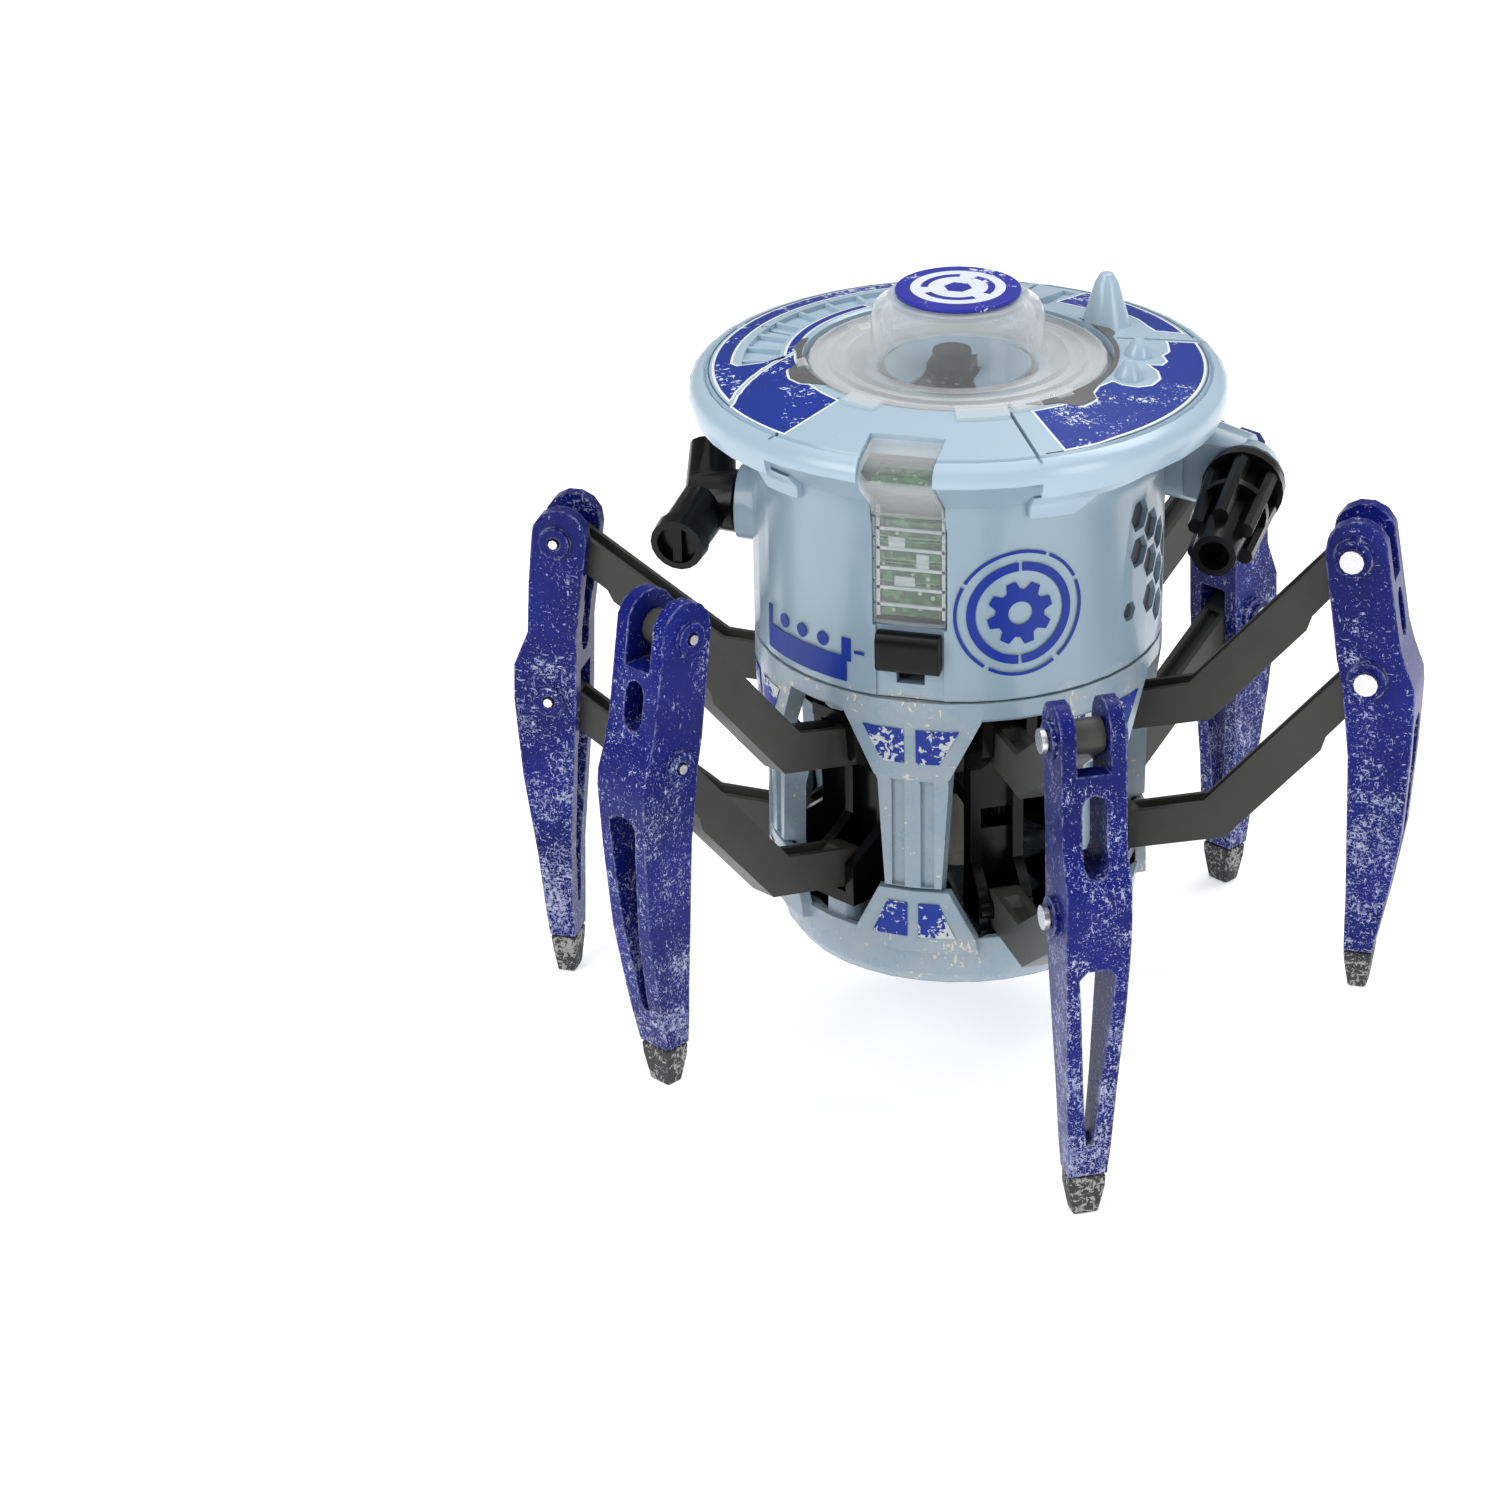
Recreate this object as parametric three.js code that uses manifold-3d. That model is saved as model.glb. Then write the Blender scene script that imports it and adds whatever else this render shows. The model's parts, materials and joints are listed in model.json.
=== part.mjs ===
// Hexapod spider robot: a turning head on a six-column leg base, with six
// parallelogram legs. Millimetres, +Z up, front = -Y, floor at Z = 0.
import * as THREE from 'three';
import { mergeVertices } from 'three/addons/utils/BufferGeometryUtils.js';
import Module from 'manifold-3d';

const wasm = await Module();
wasm.setup();

// ---------------------------------------------------------------- dimensions
const GAP = 0.3;                       // clearance between neighbouring pieces

const HIP_R = 25;                      // hip yaw axis, from the robot axis
const ARM_W = 4.6;                     // arm thickness
const SHIN_W = 10;                     // shin thickness at the pins
const PIN_R = 1.25;                    // leg pin
const PIN_HEAD_R = 1.9;
const PIN_END_R = 0.8;                 // thin peened end
const PIVOT_R = 1.5;                   // hip pivot
const TAIL_R = 15;                     // radius of the drive tails

// Leg geometry in its own plane: x = distance from the robot axis, y = height.
const LEG_A = {                        // tripod that is raised at rest
  upper: [23, 56.5], elbow: [39, 60.6], pin: [62.8, 88.3], drop: [2.8, -20.1],
  capTop: [61.5, 63.5], capBottom: [30.9, 32.9], plateZ: 50.8,
  inner: [[-4.4, 0], [-2.1, -17], [-1, -22], [0.1, -33.5], [0.3, -47], [0.4, -58], [0.3, -68]],
  outer: [[5.3, 0], [6, -4], [7.5, -13.5], [8.5, -17], [10, -21], [10.2, -23.5],
    [9.8, -33.5], [8.8, -47], [6.9, -58], [4.8, -68]],
  crown: [0.45, 0.9], crownR: 4.9, eye: [-6.3, -14.2], slot: [-27.5, -61.5],
  tip: [[0.2, -68.3], [4.8, -68.3], [3.9, -74.9], [1, -74.9]],
};
const LEG_B = {                        // tripod that stands on the floor at rest
  upper: [24, 59.5], elbow: [39, 60.5], pin: [64.5, 78.5], drop: [1.8, -27.8],
  capTop: [64.6, 66.1], capBottom: [26.4, 28.2], plateZ: 43,
  inner: [[-5.2, 0], [-3.1, -16], [-2.7, -28], [-1.6, -42], [-0.6, -56], [-0.4, -71.4]],
  outer: [[3.8, 0], [4.6, -7], [5.1, -16], [7.6, -22], [7.8, -28], [6.9, -42], [5.2, -56],
    [3.9, -71.4]],
  crown: [-0.7, 0.9], crownR: 4.6, eye: [-7.6, -20.4], slot: [-35, -66],
  tip: [[-0.5, -71.7], [3.9, -71.7], [3.1, -78.5], [0.1, -78.5]],
};
const LEGS = [
  ['mid_right', 0, LEG_A], ['rear_right', 60, LEG_B], ['rear_left', 120, LEG_A],
  ['mid_left', 180, LEG_B], ['front_left', -120, LEG_A], ['front_right', -60, LEG_B],
];
const COLUMNS = [-90, -30, 30, 90, 150, 210];

const DRUM_R = 32;                     // head drum
const DRUM_WALL = 2.6;
const HEAD_Z = 69.9;                   // underside of the head
const COLLAR_Z = [66.4, 69.6];
const CUP_R = 28.5;                    // base cup
const CUP_Z = 18;
const BRIM_R = 41.5;
const WINDOW_W = 11;                   // light window on the front
const WINDOW_Z = 82;
const NOTCH_Y = -32;                   // where the window's notch in the cover ends
const SWITCH = { w: 10, h: 6.3, z: 78 };
const SWITCH_TRAVEL = 4;

// ------------------------------------------------------------------- helpers
const deg = (a) => a * Math.PI / 180;

// A closed, outward-facing solid from any three.js geometry.
function solid(geometry) {
  const plain = new THREE.BufferGeometry();
  plain.setAttribute('position', geometry.attributes.position.clone());
  if (geometry.index) plain.setIndex(geometry.index.clone());
  const merged = mergeVertices(plain, 1e-4);
  const p = merged.attributes.position.array;
  const src = merged.index.array;
  const tri = [];
  let volume = 0;
  for (let i = 0; i < src.length; i += 3) {
    const [a, b, c] = [src[i], src[i + 1], src[i + 2]];
    if (a === b || b === c || c === a) continue;
    tri.push(a, b, c);
    const [ax, ay, az, bx, by, bz, cx, cy, cz] = [a, b, c]
      .flatMap((k) => [p[3 * k], p[3 * k + 1], p[3 * k + 2]]);
    volume += ax * (by * cz - bz * cy) + ay * (bz * cx - bx * cz) + az * (bx * cy - by * cx);
  }
  if (volume < 0) {
    for (let i = 0; i < tri.length; i += 3) [tri[i], tri[i + 1]] = [tri[i + 1], tri[i]];
  }
  return new wasm.Manifold(new wasm.Mesh({
    numProp: 3, vertProperties: new Float32Array(p), triVerts: new Uint32Array(tri),
  }));
}

function geometryOf(body) {
  const mesh = body.getMesh();
  const count = mesh.vertProperties.length / mesh.numProp;
  const position = new Float32Array(count * 3);
  for (let i = 0; i < count; i++) {
    for (let k = 0; k < 3; k++) position[3 * i + k] = mesh.vertProperties[i * mesh.numProp + k];
  }
  const g = new THREE.BufferGeometry();
  g.setAttribute('position', new THREE.BufferAttribute(position, 3));
  g.setIndex([...mesh.triVerts]);
  return g;
}

const join = (...bodies) => bodies.reduce((a, b) => a.add(b));
const cut = (body, ...tools) => tools.reduce((a, b) => a.subtract(b), body);

// Ring or disc turned about Z from an outline of [radius, height] points.
function turned(outline, segments = 36) {
  const points = outline.map(([r, z]) => new THREE.Vector2(r, z));
  if (outline[0][0] > 0) points.push(points[0].clone());
  return new THREE.LatheGeometry(points, segments).rotateX(Math.PI / 2);
}
const disc = (r, z0, z1, segments = 20, x = 0, y = 0) =>
  turned([[0, z0], [r, z0], [r, z1], [0, z1]], segments).translate(x, y, 0);

function shapeOf(points) {
  return new THREE.Shape(points.map(([x, y]) => new THREE.Vector2(x, y)));
}
// Outline in the leg plane (distance, height), given a thickness across it.
function plate(points, thickness, offset = 0) {
  return new THREE.ExtrudeGeometry(shapeOf(points), { depth: thickness, bevelEnabled: false })
    .translate(0, 0, -thickness / 2).rotateX(Math.PI / 2).translate(0, offset, 0);
}
// Outline in the cross plane (sideways, height), run outwards from x0 to x1.
function across(points, x0, x1) {
  return new THREE.ExtrudeGeometry(shapeOf(points), { depth: x1 - x0, bevelEnabled: false })
    .rotateX(Math.PI / 2).rotateZ(Math.PI / 2).translate(x0, 0, 0);
}
// Flat outline in plan, from z0 to z1.
function flat(points, z0, z1) {
  return new THREE.ExtrudeGeometry(shapeOf(points), { depth: z1 - z0, bevelEnabled: false })
    .translate(0, 0, z0);
}
const box = (x0, x1, y0, y1, z0, z1) => new THREE.BoxGeometry(x1 - x0, y1 - y0, z1 - z0)
  .translate((x0 + x1) / 2, (y0 + y1) / 2, (z0 + z1) / 2);
// Rod across the leg plane.
const rod = (r, x, z, y0, y1, segments = 10) =>
  new THREE.CylinderGeometry(r, r, y1 - y0, segments).translate(x, (y0 + y1) / 2, z);
// Cylinder or cone between two points.
function bar(from, to, r0, r1 = r0, segments = 16) {
  const a = new THREE.Vector3(...from);
  const b = new THREE.Vector3(...to);
  const g = new THREE.CylinderGeometry(r1, r0, a.distanceTo(b), segments);
  const turn = new THREE.Quaternion()
    .setFromUnitVectors(new THREE.Vector3(0, 1, 0), b.clone().sub(a).normalize());
  return g.applyQuaternion(turn).translate(...a.add(b).multiplyScalar(0.5).toArray());
}
function arc(cx, cy, r, a0, a1, steps) {
  const out = [];
  for (let i = 0; i <= steps; i++) {
    const a = deg(a0 + (a1 - a0) * i / steps);
    out.push([cx + r * Math.cos(a), cy + r * Math.sin(a)]);
  }
  return out;
}

const group = new THREE.Group();
const COLOURS = {
  body: [0x9fb9c9, 0.35], leg: [0x22249a, 0.4], arm: [0x4b4c48, 0.5], rubber: [0x3a3a3a, 0.85],
  steel: [0xc9cccf, 0.25], black: [0x1c1c1d, 0.4], clear: [0xdfe6e8, 0.05], board: [0x3c8c5a, 0.5],
  motor: [0xb9bcc0, 0.3], shaft: [0xe6e3d8, 0.5], decal: [0x262da0, 0.4], cell: [0x6d7a72, 0.4],
};
function add(name, body, colour) {
  const geometry = body instanceof THREE.BufferGeometry ? body : geometryOf(body);
  const [color, roughness] = COLOURS[colour];
  const mesh = new THREE.Mesh(geometry, new THREE.MeshStandardMaterial({ color, roughness }));
  mesh.name = name;
  group.add(mesh);
}

// ---------------------------------------------------------------------- legs
// Bent blade from hip pivot to shin pin, with a channel along its top edge.
function arm(leg, dx, dz) {
  const P = [leg.upper, leg.elbow, leg.pin].map(([x, z]) => [x + dx, z + dz]);
  const inner = Math.atan2(P[1][1] - P[0][1], P[1][0] - P[0][0]) * 180 / Math.PI;
  const outer = Math.atan2(P[2][1] - P[1][1], P[2][0] - P[1][0]) * 180 / Math.PI;
  const at = (k, a, r) => [P[k][0] + r * Math.cos(deg(a)), P[k][1] + r * Math.sin(deg(a))];
  const mid = (t, side) => {
    const x = P[1][0] + t * (P[2][0] - P[1][0]);
    const z = P[1][1] + t * (P[2][1] - P[1][1]);
    return [x + side * Math.cos(deg(outer + 90)), z + side * Math.sin(deg(outer + 90))];
  };
  const bend = (inner + outer) / 2;
  const outline = [
    ...arc(...P[0], 3.1, inner + 90, inner + 270, 6), at(1, bend - 90, 3.5),
    mid(0.58, -3.6), mid(0.64, -2.6), mid(0.9, -2.5),
    ...arc(...P[2], 2.7, outer - 80, outer + 90, 6), at(1, bend + 90, 3.2),
  ];
  const groove = plate([mid(0.9, 1.5), mid(0.9, 5), mid(0.02, 6), mid(0.02, 1.7)], ARM_W - 2);
  const grooveIn = plate([at(1, bend + 90, 1.7), at(1, bend + 90, 6), at(0, inner + 90, 6),
    [P[0][0] + 5 * Math.cos(deg(inner)) - 1.7 * Math.sin(deg(inner)),
      P[0][1] + 5 * Math.sin(deg(inner)) + 1.7 * Math.cos(deg(inner))]], ARM_W - 2);
  return geometryOf(cut(solid(plate(outline, ARM_W)), solid(groove), solid(grooveIn),
    solid(rod(PIVOT_R + 0.35, ...P[0], -4, 4)), solid(rod(PIN_R + 0.4, ...P[2], -4, 4))));
}

// Pivoting fork that turns about the vertical post and carries both arms.
function hipBlock(leg) {
  const [top, bottom] = [leg.capTop, leg.capBottom];
  const [ux, uz] = leg.upper;
  const [lx, lz] = [ux + leg.drop[0], uz + leg.drop[1]];
  const bottomX = leg === LEG_A ? 28.2 : 25.9;
  const cheek = [[17.6, bottom[0]], [bottomX, bottom[0]], [bottomX + 0.2, lz + 1.5], [lx - 1, lz + 3.4],
    [21.2, lz + 6], [21.2, uz - 6], [ux + 1, uz - 3.4], [27.4, uz - 1], [28.2, top[1]],
    [17.6, top[1]]];
  // The prongs of the drive plate reach through a window in the web.
  const window = box(17, 20.2, -3.4, 3.4, leg.plateZ - 0.6, leg.plateZ + 2.8);
  const frame = cut(join(
    solid(plate(cheek, 1.7, 3.45)), solid(plate(cheek, 1.7, -3.45)),
    solid(box(17.6, 19.3, -4.3, 4.3, bottom[0], top[1])),
    solid(box(17.6, 28.2, -4.3, 4.3, ...top)), solid(box(17.6, bottomX, -4.3, 4.3, ...bottom)),
  ), solid(window));
  return geometryOf(join(frame,
    solid(rod(PIVOT_R, ux, uz, -4.2, 4.2)), solid(rod(PIVOT_R, lx, lz, -4.2, 4.2)),
    solid(disc(1.6, top[1] - 0.5, top[1] + 2.4, 10, HIP_R)),
    solid(disc(1.6, bottom[0] - 3.6, bottom[0] + 0.5, 10, HIP_R)),
    solid(box(13.4, 18, -1.6, 1.6, leg.plateZ + 2.9, leg.plateZ + 5)),
    solid(disc(1.1, leg.plateZ - 0.4, leg.plateZ + 4, 8, TAIL_R)),
  ));
}

// Tapered shin with two lugs at the top and slots through it.
function shin(leg) {
  const [px, pz] = leg.pin;
  const [dx, dz] = leg.drop;
  const foot = leg.inner[leg.inner.length - 1][1];
  const move = (points) => points.map(([x, z]) => [px + x, pz + z]);
  const side = plate(move([
    ...leg.inner.slice(1).reverse(), ...arc(...leg.crown, leg.crownR, 185, -5, 7),
    ...leg.outer.slice(1),
  ]), 20);
  const front = across([
    [-4.6, 8], [-5, 5], [-5, dz - 4], [-4.7, dz - 12], [-3.4, foot + 5], [-3, foot],
    [3, foot], [3.4, foot + 5], [4.7, dz - 12], [5, dz - 4], [5, 5], [4.6, 8],
  ].map(([y, z]) => [y, pz + z]), px - 12, px + 16);
  const half = ARM_W / 2 + GAP;
  const fork = plate(move([[-12, 9], [14, 9], [14, -4.4], [1.2, -4.6], [-12, -21.5]]), 2 * half);
  const mortise = plate(move([[-12, dz + 6.5], [dx + 0.5, dz + 4], [dx + 3.4, dz + 2.6],
    [dx + 3.4, dz - 3.6], [dx, dz - 4.8], [-12, dz - 22.5]]), 2 * half);
  const eye = across(arc(0, 0, 1.9, 0, 180, 4).map(([y, z]) => [y, pz + leg.eye[0] - 1.9 + z])
    .concat(arc(0, 0, 1.9, 180, 360, 4).map(([y, z]) => [y, pz + leg.eye[1] + 1.9 + z])),
  px - 12, px + 16);
  const slot = across([[-2.8, leg.slot[0] - 1.3], [-1.6, leg.slot[0]], [1.6, leg.slot[0]],
    [2.8, leg.slot[0] - 1.3], [0.6, leg.slot[1]], [-0.6, leg.slot[1]]]
    .map(([y, z]) => [y, pz + z]), px - 12, px + 16);
  const socket = box(px + leg.tip[0][0] + 1.1, px + leg.tip[1][0] - 1.1, -1.5, 1.5,
    pz + foot - 1, pz + foot + 3.6);
  const bosses = [];
  const bores = [];
  for (const [x, z] of [[px, pz], [px + dx, pz + dz]]) {
    bosses.push(solid(rod(3.1, x, z, -SHIN_W / 2 - 0.9, -SHIN_W / 2 + 1, 14)));
    bosses.push(solid(rod(2.6, x, z, SHIN_W / 2 - 1, SHIN_W / 2 + 0.7, 12)));
    bores.push(solid(rod(PIN_R + 0.4, x, z, -8, SHIN_W / 2 - 0.5)));
    bores.push(solid(rod(PIN_END_R + 0.3, x, z, 0, 8, 8)));
  }
  let body = solid(side).intersect(solid(front));
  body = join(body, ...bosses);
  return geometryOf(cut(body, solid(fork), solid(mortise), solid(eye), solid(slot), solid(socket),
    ...bores));
}

// Grippy foot that plugs into the end of the shin.
function footTip(leg) {
  const [px, pz] = leg.pin;
  const [a, b, c, d] = leg.tip.map(([x, z]) => [px + x, pz + z]);
  const side = plate([a, d, c, b], 12);
  const front = across([[-2.9, a[1] + 1], [-2.9, a[1] - 2], [-2, d[1]], [2, d[1]],
    [2.9, a[1] - 2], [2.9, a[1] + 1]], px - 12, px + 12);
  const plug = box(a[0] + 1.4, b[0] - 1.4, -1.2, 1.2, a[1] - 1, a[1] + 3.2);
  return geometryOf(join(solid(side).intersect(solid(front)), solid(plug)));
}

// Pin with a broad head on one side and a small peened end on the other.
function pin(x, z) {
  return geometryOf(join(
    solid(rod(PIN_R, x, z, -SHIN_W / 2 - 1.5, SHIN_W / 2 - 0.8)),
    solid(rod(PIN_END_R, x, z, 0, SHIN_W / 2 + 1.1, 8)),
    solid(rod(PIN_HEAD_R, x, z, -SHIN_W / 2 - 2.1, -SHIN_W / 2 - 1.2, 12)),
  ));
}

for (const [name, azimuth, leg] of LEGS) {
  const at = (g) => g.rotateZ(deg(azimuth));
  const [px, pz] = leg.pin;
  add(`${name}_hip_block`, at(hipBlock(leg)), 'black');
  add(`${name}_upper_arm`, at(arm(leg, 0, 0)), 'arm');
  add(`${name}_lower_arm`, at(arm(leg, ...leg.drop)), 'arm');
  add(`${name}_shin`, at(shin(leg)), 'leg');
  add(`${name}_foot_tip`, at(footTip(leg)), 'rubber');
  add(`${name}_upper_pin`, at(pin(px, pz)), 'steel');
  add(`${name}_lower_pin`, at(pin(px + leg.drop[0], pz + leg.drop[1])), 'steel');
}

// ------------------------------------------------------------------ leg base
function legCage() {
  const [z0, z1] = COLLAR_Z;
  let body = join(
    solid(turned([[3, z0], [DRUM_R - 0.4, z0], [DRUM_R, z0 + 0.5], [DRUM_R, z1], [3, z1]])),
    solid(turned([[2.4, z0 - 4], [6.6, z0 - 4], [6.6, 72.2], [8.2, 72.4], [8.2, 73.4], [6.8, 74.4],
      [2.4, 74.4]], 24)),
  );
  // Trapezoid tabs under the rim and the fluted columns they run down into.
  const shellOut = solid(turned([[26.6, 29.5], [28.1, 29.5], [28.1, 36.8], [30.3, 37.3],
    [30.3, 55], [31.4, 56.5], [32, 66], [32, 68], [29.2, 68], [29.2, 58.5], [27, 57]]));
  const tabs = [];
  for (const azimuth of COLUMNS) {
    const tool = join(
      solid(across([[-10.8, 68], [-10.8, 66.4], [-9.6, 64], [-5.9, 56.4], [5.9, 56.4], [9.6, 64],
        [10.8, 66.4], [10.8, 68]], 24, 34).rotateZ(deg(azimuth))),
      solid(across([[-5.8, 58], [-4.4, 36], [-3.4, 29], [3.4, 29], [4.4, 36], [5.8, 58]], 24, 34)
        .rotateZ(deg(azimuth))),
    );
    tabs.push(tool);
  }
  body = join(body, shellOut.intersect(join(...tabs)));
  for (const azimuth of COLUMNS) {
    for (const y of [-2.3, 2.3]) {
      body = cut(body, solid(box(29.3, 34, y - 1.05, y + 1.05, 37.4, 55.8).rotateZ(deg(azimuth))));
    }
  }
  // Bosses that hold the hip posts.
  for (const [, azimuth, leg] of LEGS) {
    const top = leg.capTop[1];
    if (leg === LEG_A) {
      body = join(body, solid(disc(3.4, top + GAP, z0 + 1, 12, HIP_R).rotateZ(deg(azimuth))));
    }
    body = cut(body, solid(disc(1.95, top, top + 2.8, 8, HIP_R).rotateZ(deg(azimuth))));
  }
  return body;
}

function baseCup() {
  const tabs = [];
  for (const azimuth of COLUMNS) {
    tabs.push(solid(across([[-10, 26], [-9.6, 28.4], [-5.6, 36.6], [5.6, 36.6], [9.6, 28.4],
      [10, 26]], 24, 34).rotateZ(deg(azimuth))));
  }
  const ringOut = solid(turned([[28.4, 24], [30.2, 26], [30.2, 37], [28.4, 37]]));
  let body = join(
    solid(turned([[0, CUP_Z], [23.5, CUP_Z], [26.2, CUP_Z + 1], [27.9, CUP_Z + 3.4], [CUP_R, 25],
      [CUP_R + 0.3, 28], [27.5, 28], [27.2, CUP_Z + 4.4], [25, CUP_Z + 2], [0, CUP_Z + 2]])),
    ringOut.intersect(join(...tabs)),
    solid(disc(5, CUP_Z + 1, 27, 20)),
  );
  const inside = solid(turned([[0, CUP_Z + 0.5], [23.2, CUP_Z + 0.5], [26, CUP_Z + 1.6],
    [27.6, CUP_Z + 4], [27.9, 34], [0, 34]]));
  for (const [, azimuth, leg] of LEGS) {
    const top = leg.capBottom[0] - GAP;
    body = join(body, solid(disc(3.3, CUP_Z + 1, top, 12, HIP_R).rotateZ(deg(azimuth)))
      .intersect(inside));
    body = cut(body, solid(disc(1.95, top - 3.7, top + 1, 8, HIP_R).rotateZ(deg(azimuth))));
  }
  // Room for the feet of the columns and for the drive shaft.
  for (const azimuth of COLUMNS) {
    body = cut(body, solid(box(26.2, 28.45, -4.6, 4.6, 29.1, 40).rotateZ(deg(azimuth))));
  }
  return cut(body, solid(disc(2.5, 21, 28, 16)));
}

// Sliding plate that swings one tripod through the tails of its hip blocks.
function drivePlate(leg) {
  const z = leg.plateZ;
  let body = solid(disc(8.4, z, z + 2.4, 24));
  for (const [, azimuth, kind] of LEGS) {
    if (kind !== leg) continue;
    const fork = cut(solid(box(4, 17, -2.6, 2.6, z, z + 2.4)), solid(box(11.6, 19, -1.4, 1.4, z - 1, z + 4)));
    body = join(body, solid(geometryOf(fork).rotateZ(deg(azimuth))));
  }
  return cut(body, solid(disc(4.8, z - 1, z + 4, 20)));
}

function driveShaft() {
  let gear = solid(disc(9.2, 76.5, 79.5, 28));
  for (let i = 0; i < 14; i++) {
    const gap = flat([[7.8, -0.5], [10, -1.2], [10, 1.2], [7.8, 0.5]], 76, 80);
    gear = cut(gear, solid(gap.rotateZ(deg(25.714 * i))));
  }
  return join(gear, solid(turned([[0, 21.6], [1.9, 21.6], [1.9, 80.5], [0, 80.5]], 12)),
    solid(disc(3.6, 28, 30, 12)));
}

add('leg_cage', legCage(), 'body');
add('base_cup', baseCup(), 'body');
add('drive_plate_a', drivePlate(LEG_A), 'black');
add('drive_plate_b', drivePlate(LEG_B), 'black');
add('drive_shaft', driveShaft(), 'shaft');

// ---------------------------------------------------------------------- head
const SHELL = [
  [7.2, HEAD_Z], [DRUM_R - 0.3, HEAD_Z], [DRUM_R, HEAD_Z + 0.4], [DRUM_R + 0.1, 98],
  [DRUM_R + 1, 99.2], [DRUM_R + 1.3, 102.2], [39.1, 107.4], [39.3, 108.6], [37.6, 108.6],
  [31, 103], [DRUM_R - DRUM_WALL, 101], [DRUM_R - DRUM_WALL, HEAD_Z + 2], [7.2, HEAD_Z + 2],
];
const ARM_RIGHT = {
  root: [26, 14.4, 96.5], end: [42.6, 11.6, 93.8], back: [43.4, 13.4, 94], face: [43.6, 8.1, 93.7],
};
const ARM_LEFT = { root: [-27, -5.5, 89], end: [-33.4, -6, 89] };

function headShell() {
  const half = WINDOW_W / 2 + GAP;
  const { w, h, z } = SWITCH;
  let body = join(
    solid(turned(SHELL, 42)),
    cut(join(
      solid(bar(ARM_RIGHT.root, ARM_RIGHT.end, 7.4, 6.2, 18)),
      solid(bar(ARM_RIGHT.back, ARM_RIGHT.face, 4.8, 6.3, 18)),
    ), solid(box(34, 60, -20, 8.1, 80, 110))),
    solid(bar(ARM_LEFT.root, ARM_LEFT.end, 6.4, 5.8, 18)),
  );
  // Hollow behind the shoulders, the light window, and the switch channel.
  body = cut(body,
    solid(turned([[0, HEAD_Z + 2], [DRUM_R - DRUM_WALL, HEAD_Z + 2], [DRUM_R - DRUM_WALL, 101],
      [31, 103], [37.6, 108.6], [38, 120], [0, 120]], 42)),
    solid(box(-half, half, -46, -28, WINDOW_Z - GAP, 112)),
    solid(box(-w / 2 - GAP, w / 2 + GAP, -34, -31, HEAD_Z - 1, WINDOW_Z)),
    solid(box(-2.2, 2.2, -34, -28, z - h / 2 - 2.6, z + h / 2 - 1)),
  );
  // Recessed vents on the right flank.
  for (const [azimuth, ...heights] of [[-17, 94, 88], [-9.5, 91, 85, 79], [-2, 88, 82, 76], [5.5, 85, 79]]) {
    for (const height of heights) {
      const tool = across(arc(0, 0, 2.7, 0, 300, 5).map(([y, v]) => [y, v + height]), DRUM_R - 1, DRUM_R + 3);
      body = cut(body, solid(tool.rotateZ(deg(azimuth))));
    }
  }
  const hole = across(arc(0, 0, 1.7, 0, 300, 5).map(([y, v]) => [y, v + 79]), DRUM_R - 1, DRUM_R + 3);
  body = cut(body, solid(hole.rotateZ(deg(-21.5))));
  return body;
}

const COVER = [
  [12.4, 110.8], [24.2, 110.8], [36.4, 109.3], [39.7, 108.9], [40.1, 106.4], [40.9, 106.2],
  [41.3, 107.8], [BRIM_R, 109.2], [41.2, 110.6], [40.2, 111.6], [39.3, 111.9], [38.9, 111.4],
  [38.6, 112.1], [24.4, 114.2], [23.9, 113.9], [23.9, 112.1], [12.4, 112.1],
];
// Places and sizes of the three sensor cones on the right of the cover.
const CONES = [[27.4, 46, 4, 1.5, 9.2], [27.6, 14, 2.3, 0.9, 3.8], [27.4, -6, 2.3, 0.9, 3.8]];

function topCover() {
  const half = WINDOW_W / 2 + GAP;
  let body = solid(turned(COVER, 42));
  for (const [r, azimuth, base, top, height] of CONES) {
    body = join(body, solid(turned([[0, 112.4], [base, 112.4], [base * 0.9, 114.4],
      [top * 1.25, 112.8 + height * 0.82], [top * 0.7, 112.8 + height * 0.97], [0, 112.8 + height]], 20)
      .translate(r, 0, 0).rotateZ(deg(azimuth))));
  }
  body = cut(body,
    solid(box(-half, half, -46, NOTCH_Y, 100, 118)),
    // The front lip is shallower than the sides.
    solid(flat([[0, 0], ...arc(0, 0, 50, -121, -59, 8)], 100, 108.6)),
  );
  // Panel seams on the top.
  for (const azimuth of [-121, -59, 29, 84, 166]) {
    body = cut(body, solid(box(25.4, 44, -0.3, 0.3, 111.4, 117).rotateZ(deg(azimuth))));
  }
  // Ribbed vent on the left and a slot at the rear right.
  const vent = [...arc(0, 0, 33.2, 124, 199, 12), ...arc(0, 0, 27.4, 199, 124, 12)];
  body = cut(body, solid(flat(vent, 112.1, 118)));
  for (let i = 0; i < 7; i++) {
    body = join(body, solid(box(27.2, 33.3, -0.35, 0.35, 111, 112.8).rotateZ(deg(132 + 10 * i))));
  }
  return cut(body, solid(box(26, 36.5, -1.2, 1.2, 111.8, 118).rotateZ(deg(74))));
}

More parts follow.
